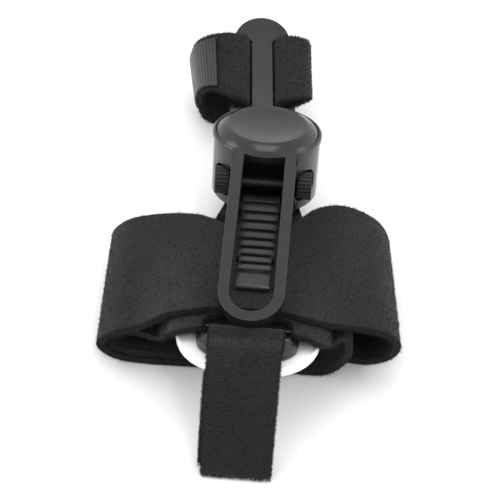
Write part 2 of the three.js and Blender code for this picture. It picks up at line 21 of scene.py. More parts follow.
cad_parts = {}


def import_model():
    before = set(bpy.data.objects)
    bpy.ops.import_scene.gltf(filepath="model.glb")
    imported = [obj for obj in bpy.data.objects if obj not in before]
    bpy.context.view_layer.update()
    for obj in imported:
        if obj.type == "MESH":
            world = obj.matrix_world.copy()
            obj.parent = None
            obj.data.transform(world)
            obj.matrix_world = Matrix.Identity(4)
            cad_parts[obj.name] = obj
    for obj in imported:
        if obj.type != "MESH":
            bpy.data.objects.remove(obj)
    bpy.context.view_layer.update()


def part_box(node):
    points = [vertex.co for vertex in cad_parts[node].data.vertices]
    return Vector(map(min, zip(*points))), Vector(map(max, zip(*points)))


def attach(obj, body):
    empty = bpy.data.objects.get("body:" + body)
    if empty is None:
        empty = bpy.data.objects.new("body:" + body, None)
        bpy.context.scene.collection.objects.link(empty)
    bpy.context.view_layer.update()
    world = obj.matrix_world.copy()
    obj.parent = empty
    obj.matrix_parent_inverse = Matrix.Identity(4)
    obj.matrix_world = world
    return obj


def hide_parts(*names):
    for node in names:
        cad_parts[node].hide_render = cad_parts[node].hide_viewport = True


log = logging.getLogger("bunion_splint")

Colour = tuple[float, float, float]
Place = tuple[float, float, float]
Range = tuple[float, float]
Socket = bpy.types.NodeSocket

MM = 0.001

# How the splint lies, and the thumb wheel's axle in splint coordinates.
LEAN = math.radians(12)
DRUM_FOOT_HEIGHT = 12.0
WHEEL_Y = -12.5
WHEEL_Z = 10.3

# The straps' map, in metres across and along, and the wave texture's period at a scale of 1.
WEAVE = "weave"
WAVE_PERIOD = 0.31416

# The range that most of a noise's values fall in, and a range of Y past both ends of the splint.
NOISE_MIDDLE = (0.3, 0.7)
EVERYWHERE = (-1.0, 1.0)


class Body(Enum):
    """The rigid bodies that pieces ride on."""

    SPLINT = "splint"
    TOE = "toe"
    WHEEL = "wheel"


class Slot(Enum):
    """The record's material slots."""

    PLASTIC = "plastic"
    PLASTIC_DARK = "plastic_dark"
    FABRIC = "fabric"
    HOOK_TAPE = "hook_tape"
    FOAM = "foam"


class Nodes:
    """The node tree of a material or of the room, built a node at a time."""

    def __init__(self, tree: bpy.types.NodeTree) -> None:
        """Takes up a tree."""
        self.tree = tree

    def node(
        self, kind: str, sockets: dict[str, object] | None = None, **options: object
    ) -> bpy.types.Node:
        """Adds a node.

        Args:
            kind: The node's type.
            sockets: Values for its input sockets, by name.
            options: Values for its own settings.

        Returns:
            The new node.
        """
        made = self.tree.nodes.new(kind)
        for name, value in options.items():
            setattr(made, name, value)
        for name, value in (sockets or {}).items():
            made.inputs[name].default_value = value
        return made

    def link(self, source: Socket, target: Socket) -> None:
        """Joins an output to an input."""
        self.tree.links.new(source, target)

    def coordinates(self, kind: str) -> Socket:
        """Reads one kind of texture coordinates."""
        return self.node("ShaderNodeTexCoord").outputs[kind]

    def noise(self, place: Socket, scale: float, detail: float = 2.0) -> Socket:
        """Adds fractal noise.

        Args:
            place: Where the noise is read.
            scale: Blotches to a metre, or to a mapped unit.
            detail: Octaves of finer noise.

        Returns:
            The noise's value.
        """
        made = self.node("ShaderNodeTexNoise", {"Scale": scale, "Detail": detail, "Roughness": 0.6})
        self.link(place, made.inputs["Vector"])
        return made.outputs["Fac"]

    def ramp(self, value: Socket, dark: Colour, light: Colour, ends: Range) -> Socket:
        """Turns a value into a colour.

        Args:
            value: The value.
            dark: The colour at the low end.
            light: The colour at the high end.
            ends: The values of both ends.

        Returns:
            The colour.
        """
        made = self.node("ShaderNodeValToRGB")
        for element, end, colour in zip(made.color_ramp.elements, ends, (dark, light)):
            element.position = end
            element.color = (*colour, 1.0)
        self.link(value, made.inputs["Fac"])
        return made.outputs["Color"]

    def scaled(self, value: Socket, before: Range, after: Range) -> Socket:
        """Maps a value from one range onto another.

        Args:
            value: The value.
            before: The range that it comes from.
            after: The range that it is brought to.

        Returns:
            The mapped value.
        """
        names = ("From Min", "From Max", "To Min", "To Max")
        made = self.node("ShaderNodeMapRange", dict(zip(names, (*before, *after))))
        self.link(value, made.inputs["Value"])
        return made.outputs["Result"]

    def add_share(self, first: Socket, second: Socket, share: float) -> Socket:
        """Adds a share of one value to another.

        Args:
            first: The value that is added to.
            second: The value that is added.
            share: How much of the second value is added.

        Returns:
            The sum.
        """
        made = self.node("ShaderNodeMath", operation="MULTIPLY_ADD")
        made.inputs[1].default_value = share
        self.link(second, made.inputs[0])
        self.link(first, made.inputs[2])
        return made.outputs["Value"]


class Shader(Nodes):
    """One material's principled surface, with the nodes that feed it."""

    def __init__(self, name: str) -> None:
        """Starts a material with a bare principled surface.

        Args:
            name: The material's name.
        """
        self.material = bpy.data.materials.new(name)
        self.material.use_nodes = True
        super().__init__(self.material.node_tree)
        self.surface = self.tree.nodes["Principled BSDF"]

    def fix(self, **values: object) -> None:
        """Sets values that are the same all over, on the surface's own sockets.

        Args:
            values: Values by socket name, underscores standing for spaces.
        """
        for name, value in values.items():
            self.surface.inputs[name.replace("_", " ")].default_value = value

    def feed(self, name: str, source: Socket) -> None:
        """Lets an output drive one of the surface's sockets."""
        self.link(source, self.surface.inputs[name])

    def bump(self, height: Socket, strength: float, distance: float) -> None:
        """Raises the surface by a height map.

        Args:
            height: The height map.
            strength: How strongly it shows.
            distance: The height of a full step, in millimetres.
        """
        made = self.node("ShaderNodeBump", {"Strength": strength, "Distance": distance * MM})
        self.link(height, made.inputs["Height"])
        self.feed("Normal", made.outputs["Normal"])

    def weave(self) -> Socket:
        """Reads a strap's own map."""
        return self.node("ShaderNodeUVMap", uv_map=WEAVE).outputs["UV"]

    def ribs(
        self, weave: Socket, pitch: float, waver: float, detail: float, detail_scale: float
    ) -> Socket:
        """Adds ribs that run across a strap.

        Args:
            weave: The strap's map.
            pitch: From rib to rib, in millimetres.
            waver: How far the ribs waver.
            detail: Octaves of the waver.
            detail_scale: How fine the waver is.

        Returns:
            The ribs' height.
        """
        sockets = {
            "Scale": WAVE_PERIOD / (pitch * MM),
            "Distortion": waver,
            "Detail": detail,
            "Detail Scale": detail_scale,
        }
        made = self.node("ShaderNodeTexWave", sockets, wave_type="BANDS", bands_direction="Y")
        self.link(weave, made.inputs["Vector"])
        return made.outputs["Fac"]


@dataclass(frozen=True)
class MouldedPlastic:
    """Satin moulded plastic with a fine grain, faint mottling and rubbed patches."""

    name: str
    dark: Colour
    light: Colour
    gloss: Range
    mottle_scale: float = 260.0
    rubbed_scale: float = 70.0
    grain_scale: float = 5200.0
    grain_height: float = 0.012

    def make(self) -> bpy.types.Material:
        """Builds the finish.

        Returns:
            The material.
        """
        shader = Shader(self.name)
        shader.fix(Specular_IOR_Level=0.5)
        place = shader.coordinates("Object")
        mottle = shader.noise(place, self.mottle_scale, detail=4.0)
        rubbed = shader.noise(place, self.rubbed_scale, detail=3.0)
        grain = shader.noise(place, self.grain_scale)
        shader.feed("Base Color", shader.ramp(mottle, self.dark, self.light, ends=NOISE_MIDDLE))
        shader.feed("Roughness", shader.scaled(rubbed, NOISE_MIDDLE, self.gloss))
        shader.bump(grain, strength=0.35, distance=self.grain_height)
        return shader.material


@dataclass(frozen=True)
class LoopFabric:
    """Brushed loop fabric with fine ribs across the strap, read from the strap's map."""

    name: str
    dark: Colour
    light: Colour
    ribbing: float
    rib: float = 0.95
    pile: float = 0.28
    streaks_per_metre: Place = (700.0, 1900.0, 1.0)
    tuft_scale: float = 1500.0
    tuft_share: float = 0.9
    worn_scale: float = 55.0
    worn_share: float = 0.3
    spread: float = 0.31
    tuft_rise: float = 1.2
    rib_rise: float = 1.7

    def make(self) -> bpy.types.Material:
        """Builds the finish.

        Returns:
            The material.
        """
        shader = Shader(self.name)
        shader.fix(Roughness=0.93, Specular_IOR_Level=0.18)
        shader.fix(Sheen_Weight=0.08, Sheen_Roughness=0.55, Sheen_Tint=(0.75, 0.75, 0.77, 1.0))
        weave = shader.weave()
        place = shader.coordinates("Object")
        stretch = shader.node("ShaderNodeMapping", {"Scale": self.streaks_per_metre})
        shader.link(weave, stretch.inputs["Vector"])
        streak = shader.noise(stretch.outputs["Vector"], scale=1.0)
        ribs = shader.ribs(weave, self.rib, waver=3.0, detail=2.0, detail_scale=1.6)
        tufts = shader.noise(place, self.tuft_scale, detail=3.0)
        worn = shader.noise(place, self.worn_scale)
        shade = shader.add_share(streak, tufts, self.tuft_share)
        shade = shader.add_share(shade, ribs, self.ribbing)
        shade = shader.add_share(shade, worn, self.worn_share)
        middle = (1 + self.tuft_share + self.ribbing + self.worn_share) / 2
        shade = shader.scaled(shade, (middle - self.spread, middle + self.spread), (0.0, 1.0))
        shader.feed("Base Color", shader.ramp(shade, self.dark, self.light, ends=(0.0, 1.0)))
        height = shader.add_share(streak, tufts, self.tuft_rise)
        height = shader.add_share(height, ribs, self.rib_rise * self.ribbing)
        shader.bump(height, strength=0.75, distance=self.pile)
        return shader.material


@dataclass(frozen=True)
class HookTape:
    """Shiny hook tape with raised lines across the strap, read from the strap's map."""

    name: str
    dark: Colour
    light: Colour
    gloss: Range = (0.24, 0.42)
    line: float = 1.25
    line_height: float = 0.3
    line_share: float = 0.4
    scuff_scale: float = 420.0

    def make(self) -> bpy.types.Material:
        """Builds the finish.

        Returns:
            The material.
        """
        shader = Shader(self.name)
        shader.fix(Specular_IOR_Level=0.42)
        lines = shader.ribs(shader.weave(), self.line, waver=0.6, detail=1.0, detail_scale=1.0)
        scuffs = shader.noise(shader.coordinates("Object"), self.scuff_scale, detail=4.0)
        shade = shader.add_share(scuffs, lines, self.line_share)
        shader.feed("Base Color", shader.ramp(shade, self.dark, self.light, ends=(0.35, 0.85)))
        shader.feed("Roughness", shader.scaled(scuffs, NOISE_MIDDLE, self.gloss))
        shader.bump(lines, strength=0.6, distance=self.line_height)
        return shader.material


@dataclass(frozen=True)
class Foam:
    """White closed-cell foam with fine pores."""

    name: str
    dark: Colour
    light: Colour
    pore_scale: float = 1500.0
    pore_depth: float = 0.12
    soil_scale: float = 90.0

    def make(self) -> bpy.types.Material:
        """Builds the finish.

        Returns:
            The material.
        """
        shader = Shader(self.name)
        shader.fix(Roughness=0.82, Specular_IOR_Level=0.3)
        place = shader.coordinates("Object")
        pores = shader.node("ShaderNodeTexVoronoi", {"Scale": self.pore_scale})
        shader.link(place, pores.inputs["Vector"])
        soil = shader.noise(place, self.soil_scale, detail=3.0)
        shader.feed("Base Color", shader.ramp(soil, self.dark, self.light, ends=(0.25, 0.6)))
        shader.bump(pores.outputs["Distance"], strength=0.3, distance=self.pore_depth)
        return shader.material


@dataclass(frozen=True)
class Finishes:
    """Every material of the splint, made once."""

    plastic: bpy.types.Material
    dull: bpy.types.Material
    fabric: bpy.types.Material
    ribbed: bpy.types.Material
    hook: bpy.types.Material
    foam: bpy.types.Material

    @classmethod
    def make(cls) -> Finishes:
        """Builds all the materials.

        Returns:
            The set of them.
        """
        plastic = MouldedPlastic(
            "satin_plastic", (0.0085, 0.0085, 0.0098), (0.0125, 0.0125, 0.0142), gloss=(0.17, 0.29)
        )
        dull = MouldedPlastic(
            "dull_plastic", (0.005, 0.005, 0.0055), (0.008, 0.008, 0.0088), gloss=(0.42, 0.56)
        )
        fabric = LoopFabric(
            "loop_fabric", (0.0045, 0.0045, 0.0046), (0.024, 0.024, 0.0242), ribbing=0.13
        )
        ribbed = LoopFabric(
            "ribbed_loop_fabric", (0.005, 0.005, 0.0051), (0.028, 0.028, 0.0282), ribbing=0.22
        )
        hook = HookTape("hook_tape", (0.004, 0.004, 0.005), (0.012, 0.012, 0.014))
        foam = Foam("white_foam", (0.74, 0.74, 0.75), (0.86, 0.86, 0.87))
        return cls(*(finish.make() for finish in (plastic, dull, fabric, ribbed, hook, foam)))


@dataclass(frozen=True)
class Setting:
    """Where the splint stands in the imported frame."""

    lying: Matrix
    splint: Matrix

    @classmethod
    def from_frame(cls) -> Setting:
        """Finds the drum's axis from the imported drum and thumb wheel.

        Returns:
            The setting.
        """
        drum_low, drum_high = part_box("hinge_drum")
        wheel_low, wheel_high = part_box("thumb_wheel")
        wheel_from_axis = (WHEEL_Y * math.cos(LEAN) + WHEEL_Z * math.sin(LEAN)) * MM
        x = (drum_low[0] + drum_high[0]) / 2
        y = (wheel_low[1] + wheel_high[1]) / 2 - wheel_from_axis
        lying = Matrix.Translation((x, y, 0.0))
        foot = Matrix.Translation((0, 0, DRUM_FOOT_HEIGHT * MM))
        return cls(lying=lying, splint=lying @ foot @ Matrix.Rotation(-LEAN, 4, "X"))


def new_piece(
    name: str, bm: bmesh.types.BMesh, material: bpy.types.Material
) -> bpy.types.Object:
    """Turns a bmesh into a shown object at the origin.

    Args:
        name: The piece's name.
        bm: The finished mesh, which is freed.
        material: The piece's material.

    Returns:
        The new object.
    """
    mesh = bpy.data.meshes.new(name)
    bm.to_mesh(mesh)
    bm.free()
    mesh.materials.append(material)
    piece = bpy.data.objects.new(name, mesh)
    bpy.context.scene.collection.objects.link(piece)
    return piece


def settle(piece: bpy.types.Object, body: Body, slot: Slot, *nodes: str) -> None:
    """Lets a piece ride on a body.

    Args:
        piece: The piece.
        body: The body that it rides on.
        slot: Not used.
        nodes: The CAD nodes that it stands for, which are hidden.
    """
    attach(piece, body.value)
    if nodes:
        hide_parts(*nodes)
    log.info("%s rides on %s", piece.name, body.value)


def smooth_line(points: Sequence[Vector], steps: int) -> list[Vector]:
    """A centripetal curve through points, as the CAD solids follow it.

    Args:
        points: The points to pass through.
        steps: Samples for each gap between two points.

    Returns:
        The samples, with both ends.
    """
    ends = [points[0] * 2 - points[1], *points, points[-1] * 2 - points[-2]]
    line: list[Vector] = []
    for before, start, stop, after in zip(ends, ends[1:], ends[2:], ends[3:]):
        pairs = ((before, start), (start, stop), (stop, after))
        first, own, last = (max((b - a).length, 1e-9) ** 0.5 for a, b in pairs)
        ahead = (stop - start) / own
        leave = ((start - before) / first - (stop - before) / (first + own) + ahead) * own
        reach = (ahead - (after - start) / (own + last) + (after - stop) / last) * own
        square = start * -3 + stop * 3 - leave * 2 - reach
        cube = start * 2 - stop * 2 + leave + reach
        for step in range(steps):
            t = step / steps
            line.append(start + leave * t + square * t**2 + cube * t**3)
    line.append(points[-1].copy())
    return line


@dataclass(frozen=True)
class Rounding:
    """How the edges of a CAD solid are rounded.

    The lip is the upper edge at the solid's heel end. Only edges within the span, the lowest and the
    highest Y in metres, are rounded.
    """

    radius: float
    segments: int = 3
    lip: float = 0.0
    lip_segments: int = 6
    span: Range = EVERYWHERE
    weld: float = 0.04
    flat: float = math.radians(0.8)
    sharp: float = math.radians(28)
    crease: float = math.radians(40)
    flat_crease: float = math.radians(12)

    def copy(self, node: str) -> bmesh.types.BMesh:
        """Copies a CAD node and rounds its edges.

        Args:
            node: The CAD node.

        Returns:
            The rounded mesh.
        """
        bm = bmesh.new()
        bm.from_mesh(bpy.data.objects[node].data)
        bmesh.ops.remove_doubles(bm, verts=bm.verts, dist=self.weld * MM)
        bmesh.ops.dissolve_limit(bm, angle_limit=self.flat, verts=bm.verts, edges=bm.edges)
        for y in self.span:
            whole = [*bm.verts, *bm.edges, *bm.faces]
            bmesh.ops.bisect_plane(
                bm, geom=whole, dist=1e-7, plane_co=(0, y, 0), plane_no=(0, 1, 0)
            )
        if self.lip:
            self.bevel(bm, [self.lip_edge(bm)], self.lip, self.lip_segments)
        self.bevel(bm, self.sharp_edges(bm), self.radius, self.segments)
        self.shade(bm)
        return bm

    def bevel(
        self, bm: bmesh.types.BMesh, edges: list[bmesh.types.BMEdge], radius: float, segments: int
    ) -> None:
        """Rounds some edges.

        Args:
            bm: The mesh.
            edges: The edges to round.
            radius: The rounding, in millimetres.
            segments: Facets across each rounded edge.
        """
        bmesh.ops.bevel(
            bm, geom=edges, offset=radius * MM, offset_type="OFFSET", segments=segments,
            profile=0.5, affect="EDGES", clamp_overlap=True, material=-1, loop_slide=True,
        )

    def lip_edge(self, bm: bmesh.types.BMesh) -> bmesh.types.BMEdge:
        """Finds the upper edge across the solid's heel end.

        Args:
            bm: The mesh.

        Returns:
            The edge.
        """
        end = min(vert.co.y for vert in bm.verts) + MM
        across = [edge for edge in bm.edges if all(vert.co.y < end for vert in edge.verts)]
        across = [edge for edge in across if abs(edge.verts[0].co.x - edge.verts[1].co.x) > MM]
        return max(across, key=lambda edge: edge.verts[0].co.z)

    def sharp_edges(self, bm: bmesh.types.BMesh) -> list[bmesh.types.BMEdge]:
        """Finds the sharp edges within the span.

        Args:
            bm: The mesh.

        Returns:
            The edges.
        """
        margin = 1e-6
        low, high = self.span[0] - margin, self.span[1] + margin
        within = [edge for edge in bm.edges if all(low < vert.co.y < high for vert in edge.verts)]
        return [edge for edge in within if edge.calc_face_angle(0.0) > self.sharp]

    def shade(self, bm: bmesh.types.BMesh) -> None:
        """Shades the mesh smoothly, apart from its creases and the rims of its flat faces.

        Args:
            bm: The mesh.
        """
        for face in bm.faces:
            face.smooth = True
        for edge in bm.edges:
            by_flat = any(len(face.verts) > 4 for face in edge.link_faces)
            edge.smooth = edge.calc_face_angle(0.0) < (self.flat_crease if by_flat else self.crease)


@dataclass
class HardPieces:
    """The moulded pieces, each a copy of its CAD solid with rounded edges.

    The cover is rounded as far as the drum, and the toe arm from just before its strap.
    """

    finishes: Finishes
    plate: float = 0.5
    drum: float = 0.35
    cover: float = 0.8
    tongue: float = 0.15
    tongue_lip: float = 1.5
    arm: float = 0.5
    wheel: float = 0.12
    drum_room: float = 0.5
    strap_room: float = 4.0

    def build(self) -> None:
        """Makes and dresses every moulded piece."""
        to_drum = (EVERYWHERE[0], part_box("hinge_drum")[0][1] - self.drum_room * MM)
        from_strap = (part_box("toe_strap")[0][1] - self.strap_room * MM, EVERYWHERE[1])
        rows = [
            ("foot_plate", Body.SPLINT, Rounding(self.plate)),
            ("hinge_drum", Body.SPLINT, Rounding(self.drum)),
            ("cover_frame", Body.SPLINT, Rounding(self.cover, span=to_drum)),
            ("toothed_tongue", Body.SPLINT, Rounding(self.tongue, lip=self.tongue_lip)),
            ("toe_arm", Body.TOE, Rounding(self.arm, span=from_strap)),
            ("thumb_wheel", Body.WHEEL, Rounding(self.wheel)),
        ]
        for node, body, rounding in rows:
            slot, material = Slot.PLASTIC, self.finishes.plastic
            if body is Body.WHEEL:
                slot, material = Slot.PLASTIC_DARK, self.finishes.dull
            settle(new_piece(f"{node}_moulding", rounding.copy(node), material), body, slot, node)


@dataclass
class FootPad:
    """The white foam under the plate, with soft rounded edges."""

    finishes: Finishes
    rounding: Rounding = Rounding(1.1, segments=4)

    def build(self) -> None:
        """Makes and dresses the pad."""
        piece = new_piece("foot_pad_foam", self.rounding.copy("foot_pad"), self.finishes.foam)
        settle(piece, Body.SPLINT, Slot.FOAM, "foot_pad")


@dataclass
class Strap:
    """A flat band between two edges that run side by side.

    Its faces wander a little and its edges fray. Ripples are counted across the band and to a metre
    along it. Fullness is 1 where the padding is full, and 0 where the strap is pressed to its
    thinnest share.
    """

    name: str
    left: list[Vector]
    right: list[Vector]
    thickness: float
    columns: int
    material: bpy.types.Material
    wander: float = 0.12
    fray: float = 0.35
    fray_power: int = 6
    ripples: Range = (2.0, 55.0)
    rounding: float = 0.3
    thinnest: float = 1.0
    fullness: list[float] = field(default_factory=list)

    def width(self) -> float:
        """Measures the band's mean width, in metres."""
        gaps = [(a - b).length for a, b in zip(self.left, self.right)]
        return sum(gaps) / len(gaps)

    def middle(self) -> list[Vector]:
        """Finds the band's middle line, a point for each row."""
        return [(a + b) / 2 for a, b in zip(self.left, self.right)]

    def travelled(self) -> list[float]:
        """Measures along the band's middle line.

        Returns:
            How far each row is from the first, in metres.
        """
        line = self.middle()
        way = [0.0]
        for a, b in zip(line, line[1:]):
            way.append(way[-1] + (b - a).length)
        return way

    def flat(self) -> Range:
        """Gives the band's width and length laid flat, in metres."""
        return self.width(), self.travelled()[-1]

    def share(self, row: int) -> float:
        """Finds the share of the full thickness that the band has at a row."""
        full = self.fullness[row] if self.fullness else 1.0
        return self.thinnest + (1.0 - self.thinnest) * full

    def outward(self, row: int) -> Vector:
        """Finds the way that the band's upper face looks at a row.

        Args:
            row: The row along the band.

        Returns:
            A unit normal.
        """
        line = self.middle()
        along = line[min(row + 1, len(line) - 1)] - line[max(row - 1, 0)]
        return (self.right[row] - self.left[row]).cross(along).normalized()

    def build(self) -> bpy.types.Object:
        """Lays a grid along the two edges, maps its weave and gives it thickness.

        Returns:
            The band, with its thickness and rounded edges as modifiers.
        """
        rows = len(self.left) - 1
        bm = bmesh.new()
        weave = bm.loops.layers.uv.new(WEAVE)
        bmesh.ops.create_grid(bm, x_segments=self.columns, y_segments=rows, size=0.5)
        cells = {vert: (vert.co.x + 0.5, round((vert.co.y + 0.5) * rows)) for vert in bm.verts}
        travelled = self.travelled()
        width = self.width()
        for face in bm.faces:
            face.smooth = True
            for loop in face.loops:
                across, row = cells[loop.vert]
                loop[weave].uv = (across * width, travelled[row])
        normals = [self.outward(row) for row in range(rows + 1)]
        for vert, (across, row) in cells.items():
            vert.co = self.lay(across, row, travelled[row], normals[row])
        vertex_rows = [row for _, row in cells.values()]
        piece = new_piece(self.name, bm, self.material)
        self.thicken(piece, vertex_rows)
        return piece

    def lay(self, across: float, row: int, travelled: float, normal: Vector) -> Vector:
        """Finds the place of one point of the band.

        Args:
            across: How far it is from the left edge to the right one, 0 to 1.
            row: Its row along the band.
            travelled: How far the row is from the first, in metres.
            normal: The way that the upper face looks there.

        Returns:
            The point, kept up off the table.
        """
        side = self.right[row] - self.left[row]
        near_edge = abs(2 * across - 1) ** self.fray_power
        seed = Vector((across * self.ripples[0], travelled * self.ripples[1], len(self.name)))
        apart = Vector((9, 0, 0))
        sway = noise.noise(seed) * self.wander * MM
        fray = noise.noise(seed + apart) * self.fray * MM * near_edge
        point = self.left[row] + side * across + normal * sway + side.normalized() * fray
        point.z = max(point.z, self.thickness / 2 * MM)
        return point

    def thicken(self, piece: bpy.types.Object, vertex_rows: list[int]) -> None:
        """Gives the band its thickness and rounds its edges, with modifiers.

        Args:
            piece: The band.
            vertex_rows: The row of each of its vertices.
        """
        solid = piece.modifiers.new("thickness", "SOLIDIFY")
        solid.thickness = self.thickness * MM
        solid.offset = 0.0
        solid.use_even_offset = False
        if self.fullness:
            group = piece.vertex_groups.new(name="fullness")
            for index, row in enumerate(vertex_rows):
                group.add([index], self.fullness[row], "REPLACE")
            solid.vertex_group = group.name
            solid.thickness_vertex_group = self.thinnest
        edges = piece.modifiers.new("edges", "BEVEL")
        edges.width = self.thickness * self.rounding * MM
        edges.segments = 3
        edges.limit_method = "ANGLE"
        edges.angle_limit = math.radians(60)


class Rim(NamedTuple):
    """A stretch of a strap's rim that fibres grow from.

    Half is half the strap's thickness there and inset is how far inside the rim the roots lie, both
    in metres.
    """

    start: Vector
    stop: Vector
    out: Vector
    along: Vector
    up: Vector
    half: float
    inset: float


class Fibre(NamedTuple):
    """One fibre: its root, the way that it leans and its share of the longest one."""

    root: Vector
    lean: Vector
    share: float


@dataclass(frozen=True)
class Fuzz:
    """The frayed fringe along a strap's rim and the short nap over its faces.

    The fringe counts fibres to a millimetre of rim, and the nap to a square millimetre of face. The
    reach is the longest fibre.
    """

    fringe: float
    nap: float
    reach: float
    width: float = 0.18
    taper: float = 0.6
    inset: float = 0.25
    rim_depth: float = 0.9
    nap_depth: float = 0.94
    rim_lean: float = 0.9
    lift_lean: float = 0.5
    nap_lean: float = 0.5
    rim_share: Range = (0.35, 1.0)
    nap_share: Range = (0.25, 0.6)
    off_table: float = 0.02

    def on_rim(self, rim: Rim, rng: random.Random) -> Fibre:
        """Roots a fibre on a stretch of rim.

        Args:
            rim: The stretch of rim.
            rng: The seeded source of chance.

        Returns:
            The fibre.
        """
        lift = rng.uniform(-1, 1)
        root = rim.start.lerp(rim.stop, rng.random())
        root += rim.up * lift * rim.half * self.rim_depth - rim.out * rim.inset
        lean = rim.out + rim.along * rng.uniform(-self.rim_lean, self.rim_lean)
        lean += rim.up * (lift + rng.uniform(-self.lift_lean, self.lift_lean))
        return Fibre(root, lean.normalized(), rng.uniform(*self.rim_share))

    def on_face(self, strap: Strap, row: int, up: Vector, rng: random.Random) -> Fibre:
        """Roots a fibre on one of the faces, between a row and the next.

        Args:
            strap: The strap.
            row: The row.
            up: The way that the upper face looks there.
            rng: The seeded source of chance.

        Returns:
            The fibre.
        """
        left, right = strap.left[row:row + 2], strap.right[row:row + 2]
        side = (right[0] - left[0]).normalized()
        along = (left[1] + right[1] - left[0] - right[0]).normalized()
        across, on, face = rng.random(), rng.random(), rng.choice((-1, 1))
        half = strap.thickness / 2 * strap.share(row) * MM
        root = left[0].lerp(left[1], on).lerp(right[0].lerp(right[1], on), across)
        root += up * face * half * self.nap_depth
        lean = up * face + side * rng.uniform(-self.nap_lean, self.nap_lean)
        lean += along * rng.uniform(-self.nap_lean, self.nap_lean)
        return Fibre(root, lean.normalized(), rng.uniform(*self.nap_share))

    def fibres(self, strap: Strap, rng: random.Random) -> list[Fibre]:
        """Scatters fibres along both edges, over both faces and along both ends.

        Args:
            strap: The strap.
            rng: The seeded source of chance.

        Returns:
            The fibres.
        """
        found: list[Fibre] = []
        last = len(strap.left) - 1
        width = strap.width() / MM
        for row in range(last):
            up = strap.outward(row)
            side = (strap.right[row] - strap.left[row]).normalized()
            ahead = strap.left[row + 1] + strap.right[row + 1] - strap.left[row] - strap.right[row]
            along = ahead.normalized()
            step = ahead.length / 2 / MM
            half = strap.thickness / 2 * strap.share(row) * MM
            for edge, out in ((strap.left, -side), (strap.right, side)):
                rim = Rim(edge[row], edge[row + 1], out, along, up, half, self.inset * MM)
                count = round(step * self.fringe + rng.random() - 0.5)
                found += [self.on_rim(rim, rng) for _ in range(count)]
            count = round(step * width * 2 * self.nap + rng.random() - 0.5)
            found += [self.on_face(strap, row, up, rng) for _ in range(count)]
        for row, inner in ((0, 1), (last, last - 1)):
            left, right = strap.left[row], strap.right[row]
            out = (left + right - strap.left[inner] - strap.right[inner]).normalized()
            side = (right - left).normalized()
            rim = Rim(left, right, out, side, strap.outward(row), strap.thickness / 2 * MM, 0.0)
            count = round((right - left).length / MM * self.fringe)
            found += [self.on_rim(rim, rng) for _ in range(count)]
        return found

    def grow(self, strap: Strap) -> bpy.types.Object:
        """Grows the fringe and the nap of a strap.

        Args:
            strap: The strap.

        Returns:
            The fibres, as one piece.
        """
        rng = random.Random(strap.name)
        fibres = self.fibres(strap, rng)
        bm = bmesh.new()
        weave = bm.loops.layers.uv.new(WEAVE)
        bmesh.ops.create_grid(bm, x_segments=1, y_segments=1, size=0.5)
        size = len(bm.verts)
        while len(bm.verts) < size * len(fibres):
            bmesh.ops.duplicate(bm, geom=[*bm.verts, *bm.edges, *bm.faces])
        bmesh.ops.delete(bm, geom=list(bm.verts)[size * len(fibres):], context="VERTS")
        verts = list(bm.verts)
        for index, fibre in enumerate(fibres):
            tall = self.reach * MM * fibre.share
            spin = Matrix.Rotation(rng.uniform(0, math.pi), 4, "Y")
            lean = fibre.lean.to_track_quat("Y", "Z").to_matrix().to_4x4()
            turn = Matrix.Translation(fibre.root) @ lean @ spin
            for vert in verts[index * size:(index + 1) * size]:
                up = vert.co.y + 0.5
                across = vert.co.x * self.width * (1 - self.taper * up) * MM
                vert.co = turn @ Vector((across, up * tall, 0.0))
                vert.co.z = max(vert.co.z, self.off_table * MM)
        for face in bm.faces:
            for loop in face.loops:
                loop[weave].uv = (loop.vert.co.x, loop.vert.co.y)
        return new_piece(f"{strap.name}_fuzz", bm, strap.material)


class Bend(NamedTuple):
    """One bend of the arch strap: the strap's middle at its toe edge and at its heel edge."""

    place: str
    pressed: bool
    toe: Place
    heel: Place


